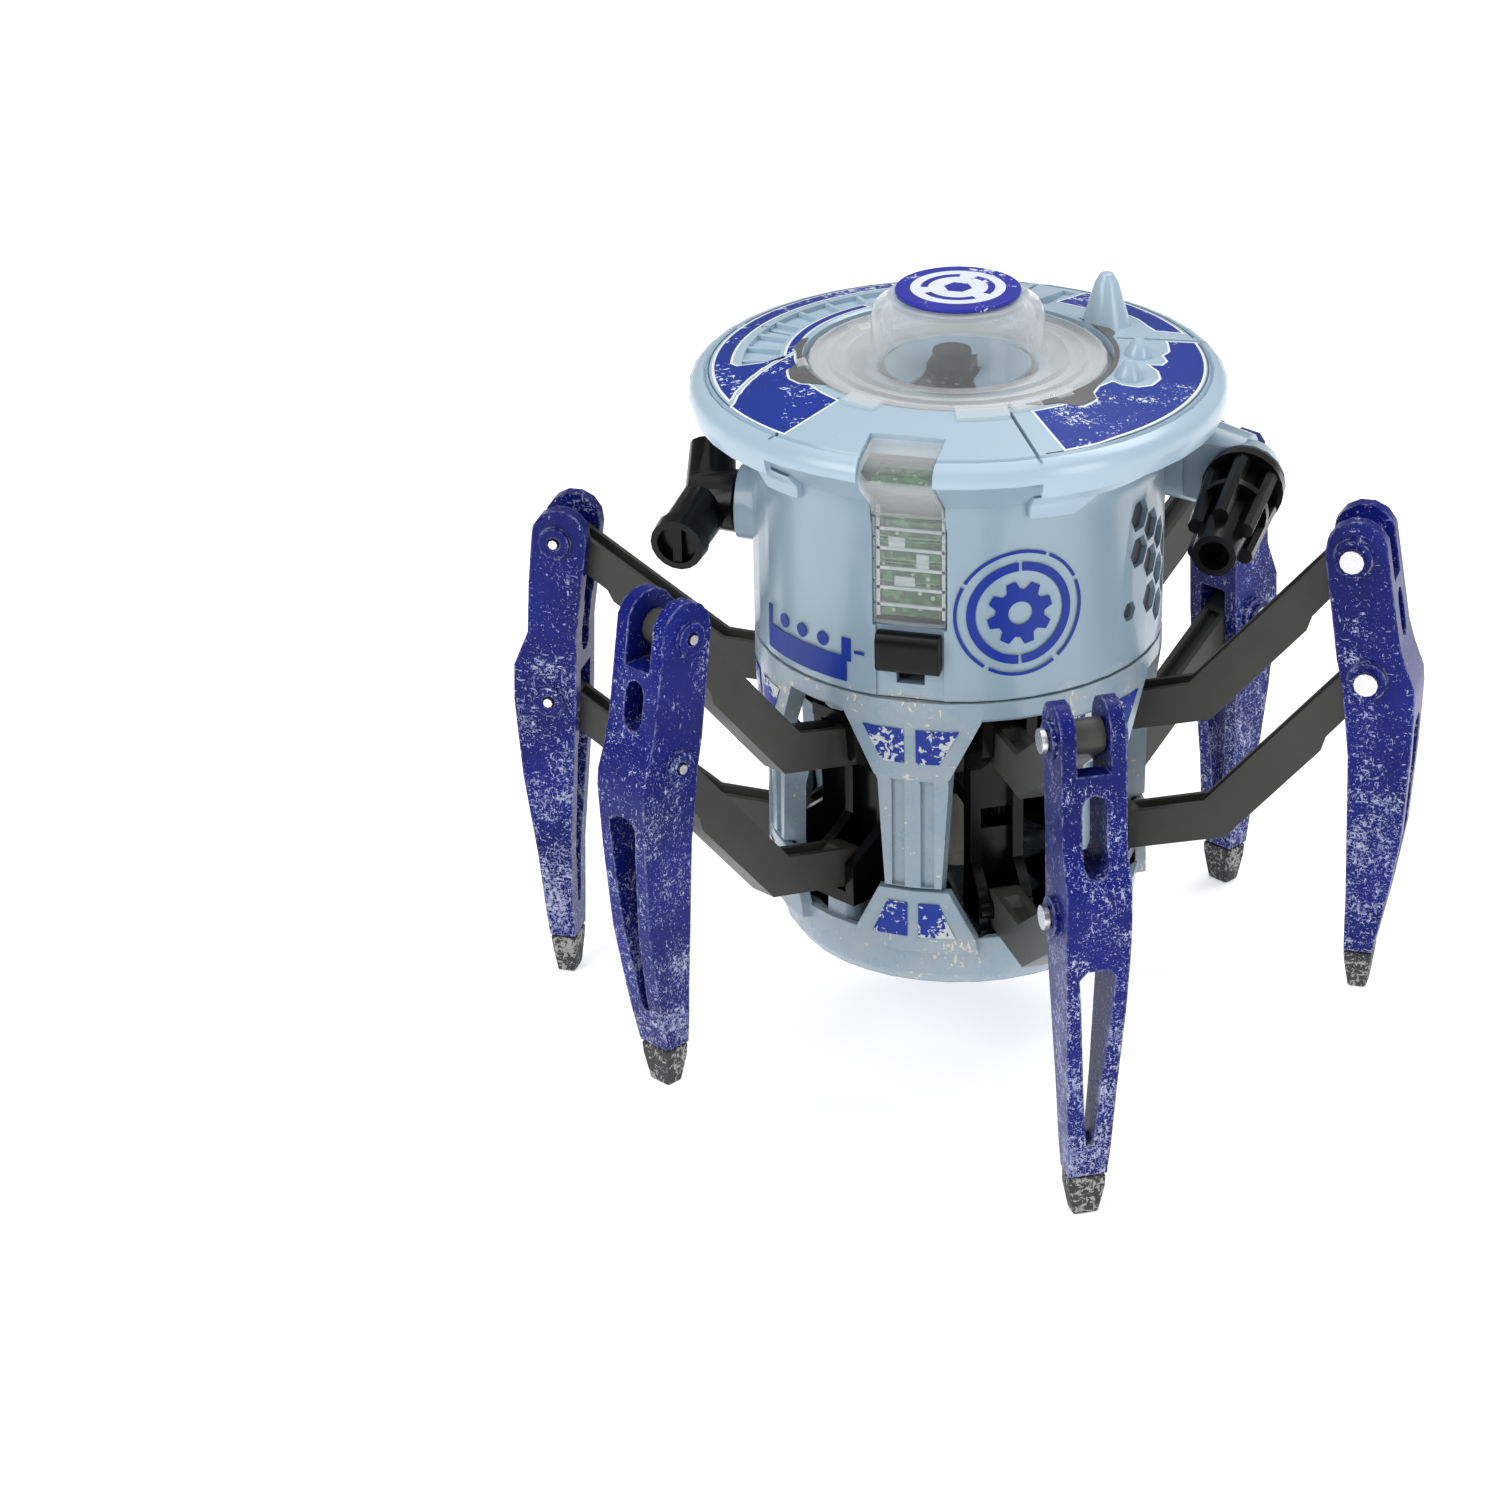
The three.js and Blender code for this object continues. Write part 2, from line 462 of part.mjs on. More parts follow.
function windowLens() {
  const band = turned([
    [28.5, 111.8], [28.5, 113.1], [38.2, 111.6], [39.9, 111.2], [41, 110.2], [41.3, 108.8],
    [40.4, 107], [33.9, 102], [32.6, 99], [32.2, WINDOW_Z + GAP], [30.7, WINDOW_Z + GAP],
    [30.9, 99.6], [32.6, 103.2], [38.8, 108], [39.2, 109.6], [37.4, 110.4],
  ], 96);
  let body = solid(band).intersect(
    solid(box(-WINDOW_W / 2, WINDOW_W / 2, -46, -20, WINDOW_Z, 118)));
  // The top end stops short of the end of its notch in the cover.
  body = cut(body, solid(box(-WINDOW_W, WINDOW_W, NOTCH_Y - GAP, -20, 106, 118)));
  // Ladder of grooves down the outside.
  for (const z of [85.6, 89.2, 92.8, 96.4, 100]) {
    body = cut(body, solid(turned([[31.95, z - 0.3], [35, z - 0.3], [35, z + 0.3], [31.95, z + 0.3]], 96)));
  }
  return body;
}

function channelSwitch() {
  const { w, h, z } = SWITCH;
  return join(
    solid(plate([[31.3, z - h / 2], [33.1, z - h / 2], [33.6, z - h / 2 + 0.6],
      [33.9, z + h / 2 - 1.2], [33.2, z + h / 2], [31.3, z + h / 2]], w).rotateZ(-Math.PI / 2)),
    solid(box(-1.8, 1.8, -31.6, -27.5, z - 1.4, z + 1.4)),
    solid(box(-3.6, 3.6, -28.9, -27.5, z - 1.8, z + 1.8)),
  );
}

function domeLens() {
  return solid(turned([
    [12.2, 112.4], [23, 112.4], [23, 113.8], [22.2, 114.1], [21.4, 113.5], [20.2, 113.5],
    [19.7, 114.1], [18.9, 113.6], [17.5, 113.6], [17, 114.3], [16.2, 113.8], [14.1, 113.9],
    [13.5, 115], [13.3, 120.9], [12.7, 122.2], [11.3, 123], [10.9, 123.8], [0, 123.8],
    [0, 122.7], [10.2, 122.7], [10.5, 121.8], [11.6, 121.1], [12, 120],
  ], 30));
}

function irReceiver() {
  let body = join(solid(disc(11.6, 110.9, 112.2, 24)), solid(box(-3.4, 3.4, -6.6, -1.4, 112, 114.8)),
    solid(disc(3, 114.6, 116.4, 14, 0, -4)));
  for (const x of [-2.2, 0, 2.2]) {
    body = join(body, solid(box(x - 0.4, x + 0.4, -9.6, -6.4, 111.9, 112.9)));
  }
  return body;
}

// Forked barrel on the left flank.
function leftCannon() {
  const muzzle = [-39.8, -20, 86.6];
  const back = [-38.4, -3, 89];
  let body = join(
    solid(bar([-33.8, -6, 89], [-41, -6.2, 89], 5, 4.4, 16)),
    solid(bar(back, muzzle, 4.2, 4, 18)),
    solid(bar([-38.6, -4.5, 90], [-39.6, 0.6, 95.4], 4, 3.6, 14)),
    solid(bar([-39.6, -17.4, 87], muzzle, 4.5, 4.3, 18)),
  );
  body = cut(body, solid(bar([-39.7, -18.4, 86.8], [-39.9, -21, 86.5], 3.2, 3.2, 16)));
  return join(body, solid(box(-40.5, -39.1, -19.6, -17.6, 83.8, 89.6)));
}

// Six-rib barrel cluster on the right shoulder.
function rightCannon() {
  const along = new THREE.Vector3(0, -20.6, -1.3).normalize();
  const up = new THREE.Vector3(0, along.z, -along.y);
  const start = new THREE.Vector3(43.6, 7.7, 93.6);
  // Point at a distance down the barrel, off its axis by r towards angle a.
  const at = (distance, r = 0, a = 0) => start.clone().addScaledVector(along, distance)
    .addScaledVector(up, r * Math.sin(a)).add(new THREE.Vector3(r * Math.cos(a), 0, 0)).toArray();
  let body = join(
    solid(bar(at(0), at(2.2), 6.3, 6.4, 24)), solid(bar(at(2), at(19), 3.7, 3.3, 18)),
    solid(bar(at(9.6), at(11), 5.5, 5.4, 24)), solid(bar(at(18), at(25.4), 3.7, 3.4, 24)),
  );
  for (let i = 0; i < 6; i++) {
    const a = deg(60 * i + 30);
    body = join(body, solid(bar(at(1.5, 4.9, a), at(20.4, 4.3, a), 1.35, 1.3, 8)));
  }
  return cut(body, solid(bar(at(20.6), at(28), 2.4, 2.4, 14)));
}

add('head_shell', headShell(), 'body');
add('head_top_cover', topCover(), 'body');
add('window_lens', windowLens(), 'clear');
add('channel_switch', channelSwitch(), 'black');
add('dome_lens', domeLens(), 'clear');
add('dome_badge', disc(9.7, 124.1, 124.9, 32), 'decal');
add('ir_receiver', irReceiver(), 'black');
add('left_cannon', leftCannon(), 'black');
add('right_cannon', rightCannon(), 'black');

// Working parts inside the drum.
add('circuit_board', join(
  solid(box(-9, 9, -26.2, -24.8, 83, 106)), solid(box(-3, 3, -27.6, -26, 88, 94)),
  solid(box(-6.5, -4, -27.4, -26, 96, 100)), solid(box(2.5, 6.5, -27.2, -26, 97, 101)),
), 'board');
add('drive_motor', join(
  solid(disc(6, 82.4, 102, 24, 14, 2)), solid(disc(2.6, 79.6, 84, 16, 14, 2)),
), 'motor');
add('steering_motor', join(
  solid(disc(6, 80.4, 100, 24, -14, 2)), solid(disc(2.4, 76, 81, 16, -14, 2)),
), 'motor');
add('battery_pack', join(
  solid(box(-12, 12, 13, 24, 76, 100)), solid(box(-8, 8, 23, 26, 80, 96)),
), 'cell');

export default group;
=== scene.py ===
"""Looks of the hexapod spider robot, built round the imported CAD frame."""
import json
import math

import bmesh
import bpy
from mathutils import Matrix, Vector


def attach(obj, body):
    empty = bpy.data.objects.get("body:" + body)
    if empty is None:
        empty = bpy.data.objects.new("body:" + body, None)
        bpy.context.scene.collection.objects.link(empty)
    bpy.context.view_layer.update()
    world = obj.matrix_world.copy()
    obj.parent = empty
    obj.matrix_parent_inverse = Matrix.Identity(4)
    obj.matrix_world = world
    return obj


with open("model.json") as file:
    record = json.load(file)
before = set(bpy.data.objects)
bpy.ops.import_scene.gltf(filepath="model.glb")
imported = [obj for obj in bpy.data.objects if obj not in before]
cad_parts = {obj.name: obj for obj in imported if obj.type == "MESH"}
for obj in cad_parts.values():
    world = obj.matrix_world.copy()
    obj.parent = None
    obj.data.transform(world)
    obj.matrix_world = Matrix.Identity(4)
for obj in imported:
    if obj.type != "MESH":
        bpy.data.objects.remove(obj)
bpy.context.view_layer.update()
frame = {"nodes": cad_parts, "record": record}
NODES = frame["nodes"]
MM = 0.001

COLUMNS = (-90, -30, 30, 90, 150, 210)      # azimuths of the leg base's columns
DRUM_R = 32.12                              # just outside the drum's face
VENT_R = 31.15                              # floors of the vents
KX = 180 / (math.pi * 32.15)                # degrees round the drum for one mm
EMBLEM = (-59.7, 84.2)                      # azimuth and height of the emblem's middle
COVER_R, COVER_Z = 24.4, 114.22             # inner edge of the cover's conical top
COVER_SLOPE = 2.1 / 14.2                    # fall of that cone, outwards
SHARP = math.radians(38)                    # edges over this are kept sharp or rounded
FLECK_EDGE = 34.0                           # how crisply worn strokes end


# ------------------------------------------------------------------ materials
class Shader:
    """Short-hand for building one procedural material."""

    def __init__(self, name):
        self.mat = bpy.data.materials.new(name)
        self.mat.use_nodes = True
        self.tree = self.mat.node_tree
        self.tree.nodes.clear()
        self.out = self.tree.nodes.new("ShaderNodeOutputMaterial")
        self.coord = self.tree.nodes.new("ShaderNodeTexCoord").outputs["Object"]

    def link(self, source, socket):
        if hasattr(source, "is_output"):
            self.tree.links.new(source, socket)
        elif source is not None:
            socket.default_value = source

    def node(self, kind, inputs=None, **props):
        n = self.tree.nodes.new(kind)
        for key, value in props.items():
            setattr(n, key, value)
        for key, value in (inputs or {}).items():
            self.link(value, n.inputs[key])
        return n

    def math(self, op, a, b=0.0, clamp=False):
        return self.node("ShaderNodeMath", {0: a, 1: b}, operation=op, use_clamp=clamp).outputs[0]

    def scaled(self, x, y, z, turn=0.0):
        n = self.node("ShaderNodeMapping", {"Vector": self.coord, "Scale": (x, y, z)})
        n.inputs["Rotation"].default_value = (turn, turn * 0.6, turn * 1.4)
        return n.outputs[0]

    def noise(self, scale, detail=3.0, rough=0.55, vector=None, distortion=0.0):
        return self.node("ShaderNodeTexNoise", {
            "Vector": vector or self.coord, "Scale": scale, "Detail": detail,
            "Roughness": rough, "Distortion": distortion}).outputs["Fac"]

    def ramp(self, fac, stops):
        n = self.node("ShaderNodeValToRGB", {"Fac": fac})
        ramp = n.color_ramp.elements
        while len(ramp) < len(stops):
            ramp.new(0.5)
        for e, (pos, value) in zip(ramp, stops):
            e.position = pos
            e.color = value if isinstance(value, tuple) else (value, value, value, 1)
        return n.outputs["Color"]

    def mix(self, fac, a, b):
        n = self.node("ShaderNodeMix", data_type="RGBA")
        self.link(fac, n.inputs[0])
        self.link(a, n.inputs[6])
        self.link(b, n.inputs[7])
        return n.outputs[2]

    def range(self, value, low, high, to_low=0.0, to_high=1.0):
        return self.node("ShaderNodeMapRange", {
            "Value": value, "From Min": low, "From Max": high,
            "To Min": to_low, "To Max": to_high}).outputs[0]

    def axis(self, letter):
        return self.node("ShaderNodeSeparateXYZ", {0: self.coord}).outputs[letter]

    def flecks(self, size, amount, seed=0.0, stretch=1.0):
        """Short worn strokes about `size` mm long, where noise beats 1 - amount."""
        k = 1.0 / (size * MM)
        a = self.noise(1.0, 2.0, 0.6, self.scaled(k, k, k / stretch, 0.6 + seed), 0.6)
        b = self.noise(1.0, 2.0, 0.6, self.scaled(k / stretch, k, k, 2.1 + seed), 0.6)
        top = self.math("MAXIMUM", a, b)
        gate = self.math("SUBTRACT", top, self.math("SUBTRACT", 1.0, amount))
        return self.math("MULTIPLY", gate, FLECK_EDGE, clamp=True)

    def edges(self, radius, grain):
        """1 along convex and concave edges, broken up by `grain`."""
        soft = self.node("ShaderNodeBevel", {"Radius": radius * MM}, samples=4).outputs[0]
        plain = self.node("ShaderNodeNewGeometry").outputs["Normal"]
        dot = self.node("ShaderNodeVectorMath", {0: soft, 1: plain}, operation="DOT_PRODUCT")
        bent = self.range(dot.outputs["Value"], 0.99, 0.9)
        broken = self.range(self.noise(grain, 3, 0.7), 0.42, 0.6)
        return self.math("MULTIPLY", bent, broken, clamp=True)

    def bump(self, height, strength, distance):
        return self.node("ShaderNodeBump", {
            "Height": height, "Strength": strength, "Distance": distance * MM}).outputs["Normal"]

    def surface(self, **values):
        n = self.node("ShaderNodeBsdfPrincipled")
        names = {"color": "Base Color", "rough": "Roughness", "metal": "Metallic",
                 "normal": "Normal", "coat": "Coat Weight", "coat_rough": "Coat Roughness",
                 "spec": "Specular IOR Level", "alpha": "Alpha", "ior": "IOR",
                 "glow": "Emission Strength", "glow_color": "Emission Color"}
        for key, value in values.items():
            self.link(value, n.inputs[names[key]])
        self.link(n.outputs[0], self.out.inputs["Surface"])
        return self.mat


def rgb(r, g, b):
    """Linear colour from 0-255 display values."""
    f = lambda c: c / 12.92 if c <= 0.04045 else ((c + 0.055) / 1.055) ** 2.4
    return (f(r / 255), f(g / 255), f(b / 255), 1.0)


LIGHT_BLUE = rgb(166, 188, 204)
SCUFF = rgb(204, 199, 184)
NAVY = rgb(17, 47, 144)


def body_plastic(name, wear=0.0, base=LIGHT_BLUE, low=None):
    s = Shader(name)
    tone = s.ramp(s.noise(38, 3), [(0.3, tuple(c * 0.95 for c in base[:3]) + (1,)), (0.7, base)])
    grain = s.noise(2600, 2)
    color, rough = tone, s.range(grain, 0, 1, 0.2, 0.3)
    if wear:
        place = s.noise(120, 4, 0.6)
        if low:
            place = s.math("MULTIPLY", place, s.range(s.axis("Z"), low[0] * MM, low[1] * MM, 1.0, 0.0))
        spots = s.flecks(0.9, s.range(place, 0.35, 0.7, 0.18 * wear, 0.42 * wear), 0.3, 2.0)
        dust = s.range(place, 0.45, 0.75, 0.0, 0.22 * wear)
        worn = s.math("MAXIMUM", spots, dust)
        color = s.mix(worn, tone, SCUFF)
        rough = s.range(worn, 0, 1, 0.27, 0.6)
    return s.surface(color=color, rough=rough, spec=0.5,
                     normal=s.bump(grain, 0.12, 0.02), coat=0.15, coat_rough=0.15)


def leg_plastic(name):
    s = Shader(name)
    height = s.axis("Z")
    lower = s.range(height, 0.095, 0.008, 0.0, 1.0)
    place = s.noise(150, 4, 0.65)
    amount = s.math("ADD", s.math("MULTIPLY", lower, 0.11), s.range(place, 0.35, 0.7, 0.25, 0.38))
    strokes = s.flecks(0.5, amount, 0.0, 2.4)
    fine = s.flecks(0.28, s.math("SUBTRACT", amount, 0.01), 1.2, 1.6)
    # The edge mask lightens convex and concave edges with the chip colour: partly edge wear, partly a painted
    # highlight along edges and boss rims.
    worn = s.math("MAXIMUM", s.math("MAXIMUM", strokes, fine),
                  s.math("MULTIPLY", s.edges(0.5, 700), 0.75))
    tone = s.ramp(s.noise(60, 2), [(0.3, rgb(10, 18, 88)), (0.7, rgb(18, 29, 116))])
    chips = s.ramp(s.noise(900, 2), [(0.3, rgb(88, 96, 150)), (0.6, rgb(168, 174, 198))])
    rough = s.range(worn, 0, 1, 0.3, 0.65)
    return s.surface(color=s.mix(worn, tone, chips), rough=rough,
                     normal=s.bump(s.math("ADD", worn, s.noise(1800, 2)), 0.2, 0.05), spec=0.14)


def simple_plastic(name, color, rough, variation=0.12, grain=0.1, spec=0.45):
    s = Shader(name)
    dark = tuple(c * (1 - variation) for c in color[:3]) + (1,)
    tone = s.ramp(s.noise(90, 3), [(0.3, dark), (0.7, color)])
    g = s.noise(2400, 2)
    return s.surface(color=tone, rough=s.range(g, 0, 1, rough - 0.05, rough + 0.08),
                     normal=s.bump(g, grain, 0.03), spec=spec)


def rubber(name):
    s = Shader(name)
    worn = s.flecks(0.55, s.range(s.noise(260, 3), 0.3, 0.7, 0.3, 0.52), 0.4, 2.0)
    tone = s.mix(worn, rgb(48, 48, 50), rgb(150, 150, 148))
    return s.surface(color=tone, rough=0.75, normal=s.bump(worn, 0.3, 0.08))


def metal(name, color=(0.66, 0.67, 0.68, 1), rough=0.26):
    s = Shader(name)
    g = s.noise(1.0, 2, 0.5, s.scaled(4000, 600, 4000))
    return s.surface(color=color, metal=1.0, rough=s.range(g, 0, 1, rough - 0.06, rough + 0.12),
                     normal=s.bump(g, 0.08, 0.01))


def clear(name, weight=0.09):
    """Clear moulded plastic: see-through face on, brighter and glossy edge on."""
    s = Shader(name)
    facing = s.node("ShaderNodeLayerWeight", {"Blend": 0.35}).outputs["Facing"]
    streak = s.noise(1.0, 2, 0.5, s.scaled(260, 260, 90))
    gloss = s.node("ShaderNodeBsdfPrincipled", {
        "Base Color": rgb(240, 241, 244), "Roughness": s.range(streak, 0.3, 0.7, 0.03, 0.13),
        "Specular IOR Level": 0.6, "Coat Weight": 0.4})
    thin = s.node("ShaderNodeBsdfTransparent", {"Color": rgb(247, 250, 250)})
    fac = s.range(s.math("POWER", facing, 1.4), 0.0, 1.0, weight, 0.85)
    both = s.node("ShaderNodeMixShader", {0: fac, 1: thin.outputs[0], 2: gloss.outputs[0]})
    s.link(both.outputs[0], s.out.inputs["Surface"])
    return s.mat


def ink(name, color, under, wear, size=0.8):
    """Printed panel, rubbed through to the plastic under it."""
    s = Shader(name)
    place = s.noise(110, 3, 0.6)
    worn = s.flecks(size, s.range(place, 0.4, 0.66, 0.1 + 0.1 * wear, 0.24 + 0.24 * wear), 0.9, 1.5)
    tone = s.ramp(s.noise(45, 2), [(0.3, tuple(c * 0.85 for c in color[:3]) + (1,)), (0.7, color)])
    return s.surface(color=s.mix(worn, tone, under), rough=0.38, spec=0.25)


def board(name):
    """Circuit board with pale tracks and small parts."""
    s = Shader(name)
    cells = s.node("ShaderNodeTexVoronoi", {"Vector": s.scaled(1, 1, 1), "Scale": 620}).outputs["Distance"]
    tracks = s.range(s.noise(700, 1), 0.52, 0.56)
    tone = s.mix(tracks, rgb(44, 88, 46), rgb(82, 130, 80))
    tone = s.mix(s.range(cells, 0.25, 0.2), tone, rgb(176, 184, 164))
    return s.surface(color=tone, rough=0.4)


MATS = {
    "body": body_plastic("body_plastic"),
    # Darker copies of the body plastic for the leg cage, the base cup and the drum: painted shade under the
    # brim, with real wear on top.
    "body_worn_painted_shade": body_plastic("body_plastic_worn_painted_shade", 1.0, rgb(134, 154, 168)),
    "body_low_wear_painted_shade": body_plastic("body_plastic_low_wear_painted_shade", 0.9, rgb(142, 164, 179), (70, 76)),
    "leg_blue": leg_plastic("leg_plastic"),
    "arm_grey": simple_plastic("arm_plastic", rgb(68, 68, 65), 0.34, 0.15, 0.1, 0.22),
    "foot_rubber": rubber("foot_rubber"),
    "pin_steel": metal("pin_steel"),
    "black_plastic": simple_plastic("black_plastic", rgb(11, 11, 12), 0.22, 0.2, 0.05, 0.2),
    "clear_plastic": clear("clear_plastic"),
    "clear_lens": clear("clear_lens", weight=0.05),
    "board_green": simple_plastic("board_green", rgb(52, 138, 84), 0.4, 0.35),
    "motor_metal": metal("motor_metal", (0.62, 0.63, 0.66, 1), 0.3),
    "white_nylon": simple_plastic("white_nylon", rgb(226, 222, 210), 0.45),
    "badge_blue": ink("badge_blue", rgb(40, 46, 158), rgb(206, 214, 226), 0.85),
    "cell_case": simple_plastic("cell_case", rgb(92, 104, 96), 0.4),
    "bezel": simple_plastic("bezel_grey", rgb(96, 97, 96), 0.42, 0.2),
    "bezel_light": simple_plastic("bezel_light", rgb(146, 148, 149), 0.35, 0.1),
    "ink": ink("panel_ink", NAVY, rgb(196, 210, 224), 0.75),
    # Its rubbed spots show the drum's darker plastic colour, which carries painted shade.
    "ink_clean": ink("panel_ink_clean", NAVY, rgb(142, 164, 179), 0.05),
    "ink_tab": ink("tab_ink", NAVY, rgb(190, 196, 196), 1.5, 1.1),
    "outline": simple_plastic("outline_white", rgb(226, 234, 240), 0.3, 0.03),
    "panel_grey": simple_plastic("panel_grey", rgb(196, 200, 202), 0.35, 0.06),
    "ink_right": ink("panel_ink_worn", NAVY, rgb(206, 216, 226), 0.95, 0.5),
    "seam": simple_plastic("seam_shadow", rgb(70, 92, 108), 0.6, 0.1),
    # Dark colour for the vent floors: painted shade inside the openings.
    "vent": simple_plastic("vent_painted_shade", rgb(58, 62, 68), 0.5, 0.1),
    "badge_field": ink("badge_field", rgb(222, 230, 240), NAVY, 0.35),
    "window_board": board("window_board"),
}
# The leg cage, base cup and drum take the darker copies of the body plastic, which carry painted shade from
# the brim.
LOOKS = {"leg_cage": "body_worn_painted_shade", "base_cup": "body_worn_painted_shade", "head_shell": "body_low_wear_painted_shade",
         "window_lens": "clear_lens"}


# ------------------------------------------------------------------- modelling
def smooth_group():
    """Node group: shade smooth, but keep edges over SHARP."""
    g = bpy.data.node_groups.new("smooth_by_angle", "GeometryNodeTree")
    g.interface.new_socket("Geometry", in_out="INPUT", socket_type="NodeSocketGeometry")
    g.interface.new_socket("Geometry", in_out="OUTPUT", socket_type="NodeSocketGeometry")
    n = g.nodes
    i, o = n.new("NodeGroupInput"), n.new("NodeGroupOutput")
    faces, edges = n.new("GeometryNodeSetShadeSmooth"), n.new("GeometryNodeSetShadeSmooth")
    edges.domain = "EDGE"
    edges.inputs["Shade Smooth"].default_value = False
    angle, test = n.new("GeometryNodeInputMeshEdgeAngle"), n.new("FunctionNodeCompare")
    test.inputs[1].default_value = SHARP
    g.links.new(i.outputs[0], faces.inputs["Geometry"])
    g.links.new(faces.outputs[0], edges.inputs["Geometry"])
    g.links.new(angle.outputs["Unsigned Angle"], test.inputs[0])
    g.links.new(test.outputs[0], edges.inputs["Selection"])
    g.links.new(edges.outputs[0], o.inputs[0])
    return g


SMOOTH = smooth_group()


def finish_edges(obj, width, segments=2, from_cad=True):
    """Modifiers that round the edges and smooth the shading."""
    if from_cad:
        m = obj.modifiers.new("weld", "WELD")
        m.merge_threshold = 1e-6
        m = obj.modifiers.new("planar", "DECIMATE")
        m.decimate_type = "DISSOLVE"
        m.angle_limit = math.radians(1.2)
    m = obj.modifiers.new("smooth", "NODES")
    m.node_group = SMOOTH
    if width:
        m = obj.modifiers.new("round", "BEVEL")
        m.width = width * MM
        m.segments = segments
        m.limit_method = "ANGLE"
        m.angle_limit = SHARP
        m.harden_normals = True
        m.use_clamp_overlap = True


def piece(name, verts, faces, material, body, slot, edge=0.0):
    mesh = bpy.data.meshes.new(name)
    mesh.from_pydata([tuple(c * MM for c in v) for v in verts], [], faces)
    mesh.update()
    obj = bpy.data.objects.new(name, mesh)
    bpy.context.collection.objects.link(obj)
    obj.data.materials.append(MATS[material])
    b = bmesh.new()
    b.from_mesh(mesh)
    bmesh.ops.recalc_face_normals(b, faces=b.faces)
    b.to_mesh(mesh)
    b.free()
    finish_edges(obj, edge, from_cad=False)
    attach(obj, body)
    return obj


def lathe(outline, steps=96):
    """Closed outline of (radius, height) turned about Z."""
    verts, faces, n = [], [], len(outline)
    for i in range(steps):
        a = math.radians(360 * i / steps)
        verts += [(r * math.cos(a), r * math.sin(a), z) for r, z in outline]
        here, after = i * n, ((i + 1) % steps) * n
        for k in range(n):
            m = (k + 1) % n
            faces.append((here + k, after + k, after + m, here + m))
    return verts, faces


def box(x0, x1, y0, y1, z0, z1):
    verts = [(x, y, z) for z in (z0, z1) for y in (y0, y1) for x in (x0, x1)]
    return verts, [(0, 2, 3, 1), (4, 5, 7, 6), (0, 1, 5, 4), (1, 3, 7, 5), (3, 2, 6, 7), (2, 0, 4, 6)]


def sheet(outline, place, step, thick=0.05):
    """Thin film: a flat outline cut into strips and laid on a curved face.
    `place` maps (u, v, lift) to a point."""
    b = bmesh.new()
    b.faces.new([b.verts.new((u, v, 0)) for u, v in outline])
    for axis in (0, 1):
        low = min(p[axis] for p in outline)
        high = max(p[axis] for p in outline)
        for i in range(1, int((high - low) / step[axis]) + 1):
            at = [0, 0, 0]
            at[axis] = low + i * step[axis]
            normal = [0, 0, 0]
            normal[axis] = 1
            bmesh.ops.bisect_plane(b, geom=b.verts[:] + b.edges[:] + b.faces[:], dist=1e-5,
                                   plane_co=at, plane_no=normal)
    b.verts.index_update()
    flat = [v.co.copy() for v in b.verts]
    inner = [[v.index for v in f.verts] for f in b.faces]
    rim = [(e.verts[0].index, e.verts[1].index) for e in b.edges if e.is_boundary]
    b.free()
    n = len(flat)
    verts = [place(p.x, p.y, 0.0) for p in flat] + [place(p.x, p.y, thick) for p in flat]
    faces = [tuple(reversed(f)) for f in inner] + [tuple(i + n for i in f) for f in inner]
    faces += [(a, c, c + n, a + n) for a, c in rim]
    return verts, faces


def on_drum(u, v, lift, radius=DRUM_R):
    """u in degrees round the drum, v in mm up it."""
    a = math.radians(u)
    return ((radius + lift) * math.cos(a), (radius + lift) * math.sin(a), v)


def on_top(u, v, lift):
    """u in degrees, v the distance from the axis, on the conical cover."""
    a = math.radians(u)
    z = COVER_Z - (v - COVER_R) * COVER_SLOPE + lift
    return (v * math.cos(a), v * math.sin(a), z)


def circle(cx, cy, rx, ry, n=48, a0=0.0, a1=360.0):
    span = n if a1 - a0 >= 359.9 else n + 1
    return [(cx + rx * math.cos(math.radians(a0 + (a1 - a0) * i / n)),
             cy + ry * math.sin(math.radians(a0 + (a1 - a0) * i / n))) for i in range(span)]


def band(cx, cy, kx, r0, r1, a0, a1, n=40):
    """Arc-shaped strip of a ring, in (degrees, mm) on the drum."""
    return circle(cx, cy, r1 * kx, r1, n, a0, a1) + circle(cx, cy, r0 * kx, r0, n, a0, a1)[::-1]


# ----------------------------------------------------- carried-over CAD nodes
WIDTHS = {"shin": 0.7, "arm": 0.35, "tip": 0.4, "pin": 0.12, "block": 0.2}
for record in frame["record"]["subparts"]:
    node, slot = record["node"], record["material_slot"]
    obj = NODES[node]
    obj.data.materials.clear()
    obj.data.materials.append(MATS[LOOKS.get(node, slot)])
    width = next((w for key, w in WIDTHS.items() if node.endswith(key)), 0.3)
    if node in ("dome_lens", "window_lens"):
        width = 0.15
    finish_edges(obj, width, 3 if node.endswith("shin") else 2)


# --------------------------------------------------- printed panels and trim
def head_film(name, outline, place, material, slot="badge_blue", thick=0.05, edge=0.0, step=(2.5, 60)):
    """Film or plate on the head, following `place`."""
    piece(name, *sheet(outline, place, step, thick), material, "head", slot, edge)


def ring_arc(a0, a1, r, n=24):
    return [(a0 + (a1 - a0) * i / n, r) for i in range(n + 1)]


def crack(a0, r0, a1, r1, n=14, size=0.55):
    """Zigzag line between two polar points."""
    out = []
    for i in range(1, n):
        t = i / n
        kick = size * (1 if i % 2 else -1) * (0.5 + 0.5 * math.sin(7.3 * i))
        out.append((a0 + (a1 - a0) * t + kick * 1.6, r0 + (r1 - r0) * t + kick * 0.5))
    return out


